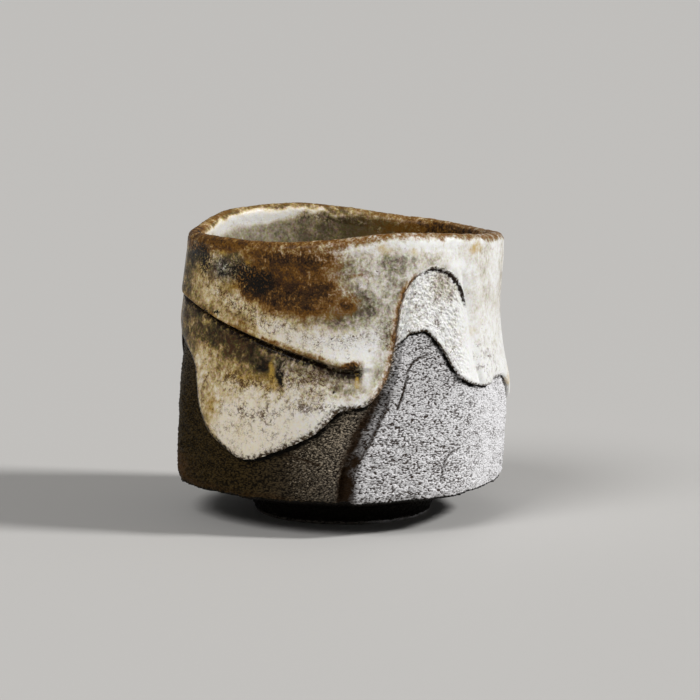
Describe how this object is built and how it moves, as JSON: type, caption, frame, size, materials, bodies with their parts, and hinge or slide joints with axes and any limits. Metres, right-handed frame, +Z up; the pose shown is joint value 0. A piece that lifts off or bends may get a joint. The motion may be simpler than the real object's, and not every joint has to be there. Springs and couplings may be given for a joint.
{
  "type": "sake cup",
  "caption": "Small hand-formed stoneware drinking cup with a wavy lip, a folded shoulder, a creased front and thick white glaze hanging in lobes over bare clay, on a low foot ring.",
  "frame": {"origin": "on the table, under the middle of the cup's outline", "axes": "+Z up, the creased front faces -Y, +X to the right of someone who faces the front"},
  "size_m": [0.0628, 0.0618, 0.0555],
  "materials": {
    "bare_clay": "bare coarse stoneware, matte",
    "white_glaze": "thick white feldspar glaze, satin gloss, iron speckled",
    "thin_glaze": "thin dry white glaze, pitted",
    "iron_lip": "rust-brown iron coat, satin",
    "liner_glaze": "grey-green liner glaze, gloss"
  },
  "bodies": {
    "root": {"clay_body": "bare_clay", "foot_ring": "bare_clay", "outer_glaze": "white_glaze", "thin_glaze": "thin_glaze", "iron_lip": "iron_lip", "inner_glaze": "liner_glaze"}
  },
  "joints": []
}
